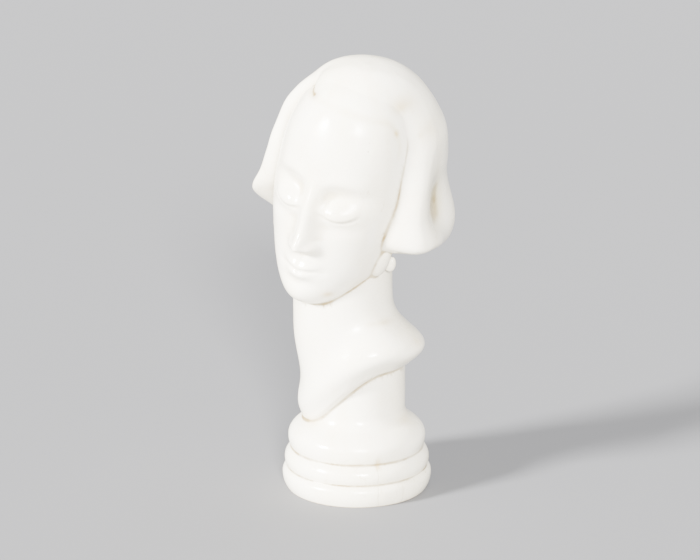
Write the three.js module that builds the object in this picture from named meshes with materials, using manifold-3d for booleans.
// Glazed ceramic bust in the Art Deco manner: a bowed and tilted head with bobbed hair on a long neck,
// a slanting shoulder line, a round column and a foot of three rings. It is one casting, so one mesh.
// Millimetres, +Z up, origin at the centre of the foot's underside. The head looks towards -Y.
import * as THREE from "three";
import { LoftGeometry } from "three/addons/geometries/LoftGeometry.js";
import { mergeVertices } from "three/addons/utils/BufferGeometryUtils.js";
import Module from "manifold-3d";

const { cos, sin, PI, abs, sqrt, exp, max, min } = Math;
const { degToRad, radToDeg, smoothstep, lerp, clamp } = THREE.MathUtils;

// Driving dimensions. Directions round the vertical are in degrees from the front (-Y) towards the
// figure's left (+X). Heights in the head are measured from the head's own middle.

// The foot's outline: where it is narrowest, from the underside over two grooves to the dome's top,
// and where each ring is widest.
const foot = {
  narrow: [
    { height: 0, radius: 48.6 },
    { height: 15.4, radius: 48.4 },
    { height: 28.9, radius: 45.6 },
    { height: 50.3, radius: 35 },
  ],
  wide: [
    { height: 10, radius: 51.6 },
    { height: 20.5, radius: 50 },
    { height: 36.5, radius: 47.4 },
  ],
  fullness: 2.2,
  fillet: [
    { height: 48.2, radius: 38.7 },
    { height: 51.5, radius: 33.4 },
    { height: 59, radius: 32.9 },
  ],
};

const column = { radius: 33.2, bottom: 30, aboveEdge: 7 };

const neck = {
  radius: 33.5,
  topRadius: 30,
  narrowFrom: 158,
  top: 192,
  topCentre: { x: -6, y: -9.1 },
  leanFrom: 48.8,
  leanTo: 120.3,
};

// The shoulder: a swell that ends below in a slanting edge, high at the figure's left, low at its right.
// Its lower edge starts inside the column.
const shoulder = {
  direction: 101.3,
  lowEdge: 43,
  highEdge: 88.2,
  highHalfAngle: 29,
  fallAngle: 136,
  peakAboveEdge: 17,
  leastSwell: 6.3,
  mostSwell: 21.8,
  swellSpread: 1.15,
  swellFade: 2.2,
  swellBelow: 14.4,
  swellAbove: 15.8,
  underlap: 3,
  tuck: 6,
  edgeRise: 4.5,
};

const head = {
  centre: { x: 2.7, y: -14.5, z: 221 },
  bow: 10,
  tilt: 13,
};

// The face and skull as one egg that tapers to the chin.
const skull = {
  middle: -2.5,
  halfHeight: 75.5,
  halfWidth: 49,
  front: 49,
  back: 50,
  jawFullness: 0.74,
  browFullness: 0.78,
  chinNarrowing: 0.15,
  chinForward: 30,
  jawRise: 0.9,
};

// The face is laid out in equal thirds: hair to brow, brow to nose base, nose base to chin.
const face = {
  brow: 11,
  eye: -3,
  noseBase: -34,
  mouth: -48,
  chin: -68,
  eyeApart: 18.5,
};

// The bob, from the middle of its underside over the rim to the crown: share of its full width, height.
const bob = {
  halfWidth: 58.5,
  front: 58,
  back: 68.8,
  centreBack: 9.5,
  crownBack: 4.8,
  profile: [
    [0.02, -36.5],
    [0.5, -36.8],
    [0.8, -35.6],
    [0.94, -32],
    [1.02, -26.6],
    [0.962, -11.2],
    [0.958, 3],
    [0.962, 18],
    [0.919, 36],
    [0.823, 48],
    [0.713, 58],
    [0.598, 66],
    [0.446, 72.6],
    [0.23, 77],
    [0.02, 78.5],
  ],
  rimHeight: -26.6,
  backDrop: 19,
  backDropFrom: 76,
  backDropTo: 125,
  frontDrop: 2.4,
  frontDropTo: 98,
  rightDrop: 10.8,
  insetUnderFace: 0.94,
};

// The hair's front edge in the bob's heights and directions: up the figure's right to the parting, then
// over the brow and down its left. Each place is joined to the next by short lines.
const hairline = {
  right: [
    [-110, -90],
    [-50, -84],
    [-36, -77],
    [-24, -68],
    [-8, -64.5],
    [8, -65.5],
    [20, -68.5],
    [31, -72],
    [45, -75.5],
    [55, -77],
    [61, -76.5],
    [65.5, -73],
  ],
  left: [
    [-110, 30],
    [-50, 45],
    [-36, 51],
    [-20, 53.8],
    [2, 55.5],
    [13, 57.5],
    [25, 59.5],
    [36.6, 62.5],
    [43.5, 64.5],
    [50.5, 64.2],
    [56.5, 60.8],
    [59, 56.5],
    [60.4, 48],
    [61.2, 37],
    [61.8, 24],
    [62.4, 11],
    [63, -2],
    [63.5, -16],
    [63.9, -32],
    [64.5, -48],
    [65.5, -73],
  ],
  steps: 4,
  reach: 52,
  alignedTo: 31,
};

// The step from face to hair: its width beside the face and over the forehead, the heights between
// which it widens, and a groove before it.
const lock = {
  right: { beside: 4.5, over: 8, widens: [30, 64], groove: 2.8, grooveWidth: 2.8 },
  left: { beside: 16, over: 24, widens: [-8, 48], groove: 0.5, grooveWidth: 5 },
};

// The waves at each side of the bob, as swells (or a hollow, below 0) with their direction and height.
const waves = [
  { swell: 11, direction: 72, spread: 14.5, height: -25, above: 41.6, below: 9 },
  { swell: -2.4, direction: 97, spread: 12, height: -3, above: 24, below: 15 },
  { swell: 9.7, direction: 126, spread: 24.5, height: -16.2, above: 14, below: 15 },
  { swell: 5.6, direction: 91, spread: 13, height: -27, above: 11, below: 9 },
  { swell: 1.6, direction: 72, spread: 20, height: 49, above: 7, below: 16 },
  { swell: -1.8, direction: 88, spread: 22, height: 63, above: 9, below: 8 },
];

// The ear's parts, and how far their tops lean outward.
const ear = {
  lobe: { centre: { x: 39.6, y: -15.6, z: -42.5 }, size: [4.8, 6.2, 13.5], lean: 17 },
  drop: { centre: { x: 41.6, y: -6.6, z: -48.6 }, size: [3.6, 3.6, 5.6], lean: 14 },
};

// Mesh fineness.
const grid = {
  faceColumns: 48,
  faceRows: 44,
  faceCrowding: 0.62,
  bobColumns: 54,
  bobColumnsInFace: 17,
  bobRows: 28,
  bobCrowding: 0.55,
  columnRows: 5,
  neckColumns: 34,
  neckRows: 22,
  shoulderRows: { share: 0.58, above: 34 },
  footSegments: 44,
  footSteps: 3,
  filletSteps: 3,
  earSegments: 10,
  earRows: 7,
};

const smooth = (low, high, x) => smoothstep(x, low, high);
const hill = (x, halfWidth) => exp(-((x / halfWidth) ** 2));
const spot = (x, z, cx, cz, rx, rz) => hill(x - cx, rx) * hill(z - cz, rz);

// Directions in the head are counted from this middle.
const headMiddle = new THREE.Vector3(0, 2, 0);
const directionOf = (point) => point.clone().sub(headMiddle).normalize();

// A closed surface through rings of points. pointAt(t, u) gives a point: t runs along, u round, 0 to 1.
// Each end closes on the middle of its ring.
function loft(rows, columns, pointAt) {
  const ringAt = (t) => Array.from({ length: columns }, (_, k) => pointAt(t, k / columns));
  const rings = Array.from({ length: rows + 1 }, (_, i) => ringAt(i / rows));
  const closing = (ring) => {
    const sum = ring.reduce((total, point) => total.add(point), new THREE.Vector3());
    return ring.map(() => sum.clone().divideScalar(ring.length));
  };
  return new LoftGeometry([closing(rings[0]), ...rings, closing(rings[rows])]);
}

// How far the face stands out in front of the plain egg, over the face seen from the front.
function faceRelief(x, z) {
  const a = abs(x);
  const { brow, eye, noseBase, mouth, chin, eyeApart } = face;

  const socket = -4.6 * spot(a, z, eyeApart - 2, eye + 9, 14, 7.5);
  const innerCorner = -2.4 * spot(a, z, 9, eye + 3, 5.5, 9);
  const underEye = -1.2 * spot(a, z, eyeApart + 1, eye - 11, 13, 5);
  const browArch = brow + 4.5 - 6.5 * ((a - 20) / 20) ** 2;
  const browRidge = 1.4 * hill(z - browArch, 5.5) * smooth(2, 12, a) * (1 - smooth(28, 42, a));
  const across = abs(a - eyeApart) / 12.8;
  const lid = 3.7 * exp(-(across ** 2) - (abs(z - eye + 0.8) / 8.6) ** 2);
  const fromLash = z - (eye - 6.2 + 4.6 * ((a - eyeApart) / 12.5) ** 2);
  const lashSpan = smooth(5, 9, a) * (1 - smooth(28, 32.5, a));
  const lidStep = 0.9 * smooth(-1.2, 1.2, fromLash) * hill(fromLash, 6);
  const lidEdge = lashSpan * (lidStep - 0.9 * hill(fromLash + 0.4, 1.3));

  const down = clamp((brow - z) / (brow - noseBase), 0, 1);
  const noseRise = lerp(3.6, 13.5, down ** 1.15) * (1 - smooth(brow - 9, brow + 9, z));
  const noseSpan = smooth(noseBase - 3.4, noseBase + 4.6, z);
  const noseWidth = lerp(6, 7.6, down) + 2.5 * hill(down, 0.25);
  const nose = noseRise * noseSpan * exp(-((a / noseWidth) ** 2.1));
  const noseTip = 2 * spot(x, z, 0, noseBase + 6.5, 5.5, 5.5);
  const nostrils = 3.8 * spot(a, z, 8.2, noseBase + 3.8, 3.8, 4.2);

  const muzzle = 2.8 * spot(x, z, 0, mouth + 1, 19, 14);
  const philtrum = -0.6 * spot(x, z, 0, mouth + 8.5, 2.2, 4.5);
  const fromLips = z - (mouth + 1.2 * (a / 14) ** 2 - 0.7 * hill(a, 3.4));
  const upperLip = 1.4 * hill(fromLips - 2.6, 2.4) * (1 - smooth(4, 13.5, a)) * (1 - 0.2 * hill(a, 2.4));
  const lowerLip = 1.7 * hill(fromLips + 3.4, 3) * (1 - smooth(2, 12, a));
  const lipLine = -1 * hill(fromLips, 1.2) * (1 - smooth(8, 15, a));
  const mouthCorner = -0.9 * spot(a, z, 14.5, mouth + 1, 3.4, 3.2);
  const underLip = -1.5 * spot(x, z, 0, mouth - 9.4, 10, 4);
  const chinBoss = 3.4 * spot(x, z, 0, chin, 14, 9.5);

  const cheek = 2.4 * spot(a, z, 30, -18, 14, 16);
  const temple = -1.2 * spot(a, z, 40, 15, 9, 15);
  const eyes = socket + innerCorner + underEye + browRidge + lid + lidEdge;
  const lips = muzzle + philtrum + upperLip + lowerLip + lipLine + mouthCorner;
  return eyes + nose + noseTip + nostrils + lips + underLip + chinBoss + cheek + temple;
}

// The plain egg's ring at a height: half width, depth to the front and back, and where its middle lies.
function skullRing(z) {
  const rise = clamp((z - skull.middle) / skull.halfHeight, -1, 1);
  const round = sqrt(1 - rise ** 2);
  const low = max(0, -rise);
  const full = round ** (rise < 0 ? skull.jawFullness : skull.browFullness);
  return {
    halfWidth: skull.halfWidth * full * (1 - skull.chinNarrowing * low ** 1.5),
    front: skull.front * full,
    back: skull.back * round * (1 - skull.jawRise * low ** 1.2),
    middle: -skull.chinForward * low ** 2,
  };
}

// A point of the face and skull. The rows lie closer together over the eyes, nose and mouth.
const faceRowLifts = new THREE.LinearInterpolant([0, 0.1, 0.78, 1], [-89.9, -66, 12, 89.9], 1);

function skullPoint(t, u) {
  const round = 2 * u - 1;
  const angle = PI * lerp(round, round ** 3, grid.faceCrowding);
  const z = skull.middle + skull.halfHeight * sin(degToRad(faceRowLifts.evaluate(t)[0]));
  const ring = skullRing(z);
  const x = ring.halfWidth * sin(angle);
  const y = ring.middle - (cos(angle) > 0 ? ring.front : ring.back) * cos(angle);
  const relief = smooth(0, 0.35, cos(angle)) * faceRelief(x, z);
  const point = new THREE.Vector3(x, y - relief, z);
  const leftToRight = smooth(30, 50, -radToDeg(angle));
  const depth = lerp(lock.left.groove, lock.right.groove, leftToRight);
  const width = lerp(lock.left.grooveWidth, lock.right.grooveWidth, leftToRight);
  const groove = depth * hill(fromHairline(point), width) * smooth(-62, -40, z);
  return point.addScaledVector(directionOf(point), -groove);
}

// How much of the way from the head's middle to a point lies inside the plain egg, at most 1.
function shareInSkull(point) {
  let inner = 0.2;
  let outer = 1;
  for (let i = 0; i < 16; i++) {
    const share = (inner + outer) / 2;
    const { x, y, z } = headMiddle.clone().lerp(point, share);
    const ring = skullRing(z);
    const depth = y < ring.middle ? ring.front : ring.back;
    const inside = (x / ring.halfWidth) ** 2 + ((y - ring.middle) / depth) ** 2 < 1;
    if (inside) inner = share;
    else outer = share;
  }
  return outer;
}

const bobProfile = new THREE.SplineCurve(bob.profile.map((point) => new THREE.Vector2(...point)));

// How far the waves push the bob out at a direction and height.
function waveRelief(side, z) {
  return waves.reduce((total, wave) => {
    const tall = hill(z - wave.height, z > wave.height ? wave.above : wave.below);
    return total + wave.swell * hill(side - wave.direction, wave.spread) * tall;
  }, 0);
}

// A point on the bob's full surface. Its rim drops beside the cheeks and further at the back.
function fullBobPoint(share, z, angle) {
  const side = abs(radToDeg(angle));
  const swell = waveRelief(side, z) * min(1, share);
  const depth = cos(angle) > 0 ? bob.front : bob.back;
  const middle = lerp(bob.centreBack, bob.crownBack, smooth(0, 75, z));
  const atBack = smooth(bob.backDropFrom, bob.backDropTo, side);
  const atFront = smooth(42, 84, side) * (1 - smooth(bob.backDropFrom, bob.frontDropTo, side));
  const atRight = smooth(58, 92, -radToDeg(angle)) * (1 - smooth(95, 130, side));
  const backDrop = bob.backDrop * atBack * (1 - smooth(-36, 10, z));
  const frontDrop = bob.frontDrop * atFront * (1 - smooth(-37, -22, z));
  const rightDrop = bob.rightDrop * atRight * (1 - smooth(-34, 2, z));
  return new THREE.Vector3(
    (bob.halfWidth * share + swell) * sin(angle),
    middle - (depth * share + swell) * cos(angle),
    z - backDrop - frontDrop - rightDrop,
  );
}

// The direction of the hair's front edge at a height, on each side.
const edgeOf = (places) =>
  new THREE.CubicInterpolant(
    places.map(([height]) => height),
    places.map(([, direction]) => degToRad(direction)),
    1,
  );
const edges = { right: edgeOf(hairline.right), left: edgeOf(hairline.left) };

// The front edge as short lines, seen from the head's middle: up the figure's right, down its left, and
// closed below.
function makeHairline() {
  const upper = bob.profile.filter(([, height]) => height >= bob.rimHeight);
  const shareAt = new THREE.CubicInterpolant(
    upper.map(([, height]) => height),
    upper.map(([share]) => share),
    1,
  );
  const [right, left] = ["right", "left"].map((side) => {
    const places = hairline[side];
    return Array.from({ length: (places.length - 1) * hairline.steps + 1 }, (_, k) => {
      const i = min(Math.floor(k / hairline.steps), places.length - 2);
      const z = lerp(places[i][0], places[i + 1][0], k / hairline.steps - i);
      const share = shareAt.evaluate(max(z, bob.rimHeight))[0];
      return directionOf(fullBobPoint(share, z, edges[side].evaluate(z)[0]));
    });
  });
  const points = [...right, ...left.reverse().slice(1)];
  return points.map((start, i) => {
    const end = points[(i + 1) % points.length];
    return { line: new THREE.Line3(start, end), toHair: start.clone().cross(end).normalize() };
  });
}
const hairlineSegments = makeHairline();

// Distance from the hair's front edge along the head, in mm, below 0 over the face. Of two lines as
// near, the one counts that the point lies more squarely beside.
function fromHairline(point) {
  const direction = directionOf(point);
  const nearest = new THREE.Vector3();
  const found = hairlineSegments.map(({ line, toHair }) => {
    const apart = line.closestPointToPoint(direction, true, nearest).distanceTo(direction);
    const aside = direction.dot(toHair);
    return { signed: aside < 0 ? -apart : apart, order: apart ** 2 - 1e-6 * aside ** 2 };
  });
  return hairline.reach * found.reduce((a, b) => (b.order < a.order ? b : a)).signed;
}

const stepWidth = (side, z) => lerp(side.beside, side.over, smooth(...side.widens, z));

// A point of the bob. Over the face it dips under the skull's surface and steps up behind the hairline:
// as a rounded lip at the figure's right and low at its left, as a soft rise elsewhere.
function bobPoint(t, u) {
  const { x: share, y: z } = bobProfile.getPoint(t);
  const aligned = clamp(z, bob.rimHeight, hairline.alignedTo);
  const [alignRight] = edges.right.evaluate(aligned);
  const [alignLeft] = edges.left.evaluate(aligned);
  const inFace = grid.bobColumnsInFace / grid.bobColumns;
  const behind = (u - inFace) / (1 - inFace);
  const spread = behind - (grid.bobCrowding * sin(2 * PI * behind)) / (2 * PI);
  const acrossFace = lerp(alignRight, alignLeft, u / inFace);
  const roundBack = lerp(alignLeft, alignRight + 2 * PI, spread);
  const turned = u < inFace ? acrossFace : roundBack;
  const angle = turned > PI ? turned - 2 * PI : turned;

  const full = fullBobPoint(share, z, angle);
  const rounded = full.x < 0 ? smooth(12, 40, -full.x) : 1 - smooth(-24, 6, z);
  const toRight = smooth(0, 42, -full.x);
  const width = lerp(stepWidth(lock.left, z), stepWidth(lock.right, z), toRight);
  const step = clamp(fromHairline(full) / width, 0, 1);
  const soft = (sin((PI / 2) * step) + smooth(0, 1, step)) / 2;
  const rise = lerp(soft, sqrt(1 - (1 - step) ** 2), rounded);
  const under = shareInSkull(full) * bob.insetUnderFace;
  return headMiddle.clone().lerp(full, lerp(under, 1, rise));
}

// How many degrees a direction lies from the shoulder's, either way round.
const fromShoulder = (angle) => abs(((radToDeg(angle) - shoulder.direction + 540) % 360) - 180);

// The height of the shoulder's lower edge at a direction.
function shoulderEdge(angle) {
  const fall = clamp((fromShoulder(angle) - shoulder.highHalfAngle) / shoulder.fallAngle, 0, 1);
  return lerp(shoulder.lowEdge, shoulder.highEdge, 0.5 + 0.5 * cos(PI * fall));
}

// A point of the column, whose top slants with the shoulder's edge and draws in under it.
function columnPoint(t, u) {
  const angle = PI * (2 * u - 1);
  const edge = shoulderEdge(angle);
  const z = lerp(column.bottom, edge + column.aboveEdge, t);
  const radius = column.radius - shoulder.tuck * smooth(edge + 1, edge + column.aboveEdge, z);
  return new THREE.Vector3(radius * sin(angle), -radius * cos(angle), z);
}

// A height on the neck: t runs up from inside the column to inside the head, slower round the shoulder.
function neckHeight(t, edge) {
  const from = edge - shoulder.underlap;
  const { share, above } = grid.shoulderRows;
  if (t < share) return lerp(from, edge + above, t / share);
  return lerp(edge + above, neck.top, (t - share) / (1 - share));
}

// A point of the shoulder and neck.
function neckPoint(t, u) {
  const angle = PI * (2 * u - 1);
  const edge = shoulderEdge(angle);
  const z = neckHeight(t, edge);
  const above = z - edge - shoulder.peakAboveEdge;
  const turned = degToRad(fromShoulder(angle)) / shoulder.swellSpread;
  const facing = max(0, cos(turned)) ** shoulder.swellFade;
  const swell = lerp(shoulder.leastSwell, shoulder.mostSwell, facing);
  const bulge = swell * hill(above, above > 0 ? shoulder.swellAbove : shoulder.swellBelow);
  const plain = lerp(neck.radius, neck.topRadius, smooth(neck.narrowFrom, neck.top, z));
  const lean = smooth(neck.leanFrom, neck.leanTo, z);
  const reach = (z - edge + shoulder.underlap) / (shoulder.edgeRise + shoulder.underlap);
  const rise = sin((PI / 2) * clamp(reach, 0, 1));
  const radius = lerp(column.radius - shoulder.tuck, plain + bulge, rise);
  const x = neck.topCentre.x * lean * rise + radius * sin(angle);
  const y = neck.topCentre.y * lean * rise - radius * cos(angle);
  return new THREE.Vector3(x, y, z);
}

// The foot's outline turned about the vertical: underside, rings, dome and fillet.
function footGeometry() {
  const outline = [new THREE.Vector2(0, 0), new THREE.Vector2(foot.narrow[0].radius, 0)];
  foot.wide.forEach((wide, i) => {
    const halves = [
      { from: foot.narrow[i], rising: true },
      { from: foot.narrow[i + 1], rising: false },
    ];
    halves.forEach(({ from, rising }) => {
      for (let k = 1; k <= grid.footSteps; k++) {
        const away = rising ? 1 - k / grid.footSteps : k / grid.footSteps;
        const radius = lerp(wide.radius, from.radius, away ** foot.fullness);
        outline.push(new THREE.Vector2(radius, lerp(wide.height, from.height, away)));
      }
    });
  });
  const [start, pull, end] = foot.fillet.map(({ radius, height }) => new THREE.Vector2(radius, height));
  const fillet = new THREE.QuadraticBezierCurve(start, pull, end).getPoints(grid.filletSteps);
  const rings = outline.filter(({ y }) => y < start.y);
  const turned = [...rings, ...fillet, new THREE.Vector2(0, end.y)];
  return new THREE.LatheGeometry(turned, grid.footSegments).rotateX(PI / 2);
}

// The head's own frame placed on the neck: bowed forward, then tilted to the figure's left.
function headMatrix() {
  const bow = new THREE.Matrix4().makeRotationX(degToRad(head.bow));
  const tilt = new THREE.Matrix4().makeRotationY(degToRad(head.tilt));
  const { x, y, z } = head.centre;
  return new THREE.Matrix4().makeTranslation(x, y, z).multiply(tilt).multiply(bow);
}

// An ear lobe and its round drop, on one side of the head.
function earGeometries(side) {
  return [ear.lobe, ear.drop].map(({ centre, size, lean }) => {
    const round = new THREE.SphereGeometry(1, grid.earSegments, grid.earRows).rotateX(PI / 2);
    const leaned = round.scale(...size).rotateY(side * degToRad(lean));
    return leaned.translate(side * centre.x, centre.y, centre.z);
  });
}

const wasm = await Module();
wasm.setup();

// A closed geometry as a manifold-3d solid.
function solid(geometry) {
  const bare = new THREE.BufferGeometry();
  bare.setAttribute("position", geometry.getAttribute("position")).setIndex(geometry.index);
  const merged = mergeVertices(bare, 1e-3);
  const corners = merged.index.array;
  const kept = [];
  for (let i = 0; i < corners.length; i += 3) {
    const [a, b, c] = corners.slice(i, i + 3);
    if (a !== b && b !== c && c !== a) kept.push(a, b, c);
  }
  const mesh = new wasm.Mesh({
    numProp: 3,
    vertProperties: Float32Array.from(merged.attributes.position.array),
    triVerts: Uint32Array.from(kept),
  });
  return new wasm.Manifold(mesh);
}

// A manifold-3d solid as a geometry.
function geometryOf(body) {
  const { vertProperties, triVerts } = body.getMesh();
  const geometry = new THREE.BufferGeometry();
  geometry.setAttribute("position", new THREE.BufferAttribute(Float32Array.from(vertProperties), 3));
  geometry.setIndex(new THREE.BufferAttribute(Uint32Array.from(triVerts), 1));
  geometry.computeVertexNormals();
  return geometry;
}

function makeBust() {
  const inHead = headMatrix();
  const skullForm = loft(grid.faceRows, grid.faceColumns, skullPoint);
  const bobForm = loft(grid.bobRows, grid.bobColumns, bobPoint);
  const headForms = [skullForm, bobForm, ...earGeometries(-1), ...earGeometries(1)];
  headForms.forEach((form) => form.applyMatrix4(inHead));
  const columnForm = loft(grid.columnRows, grid.neckColumns, columnPoint);
  const neckForm = loft(grid.neckRows, grid.neckColumns, neckPoint);
  const forms = [footGeometry(), columnForm, neckForm, ...headForms];
  return forms.map(solid).reduce((whole, form) => whole.add(form));
}

const glaze = new THREE.MeshStandardMaterial({ color: 0xf1ede2, roughness: 0.22, metalness: 0 });
const bust = new THREE.Mesh(geometryOf(makeBust()), glaze);
bust.name = "bust";

const model = new THREE.Group();
model.add(bust);

export default model;
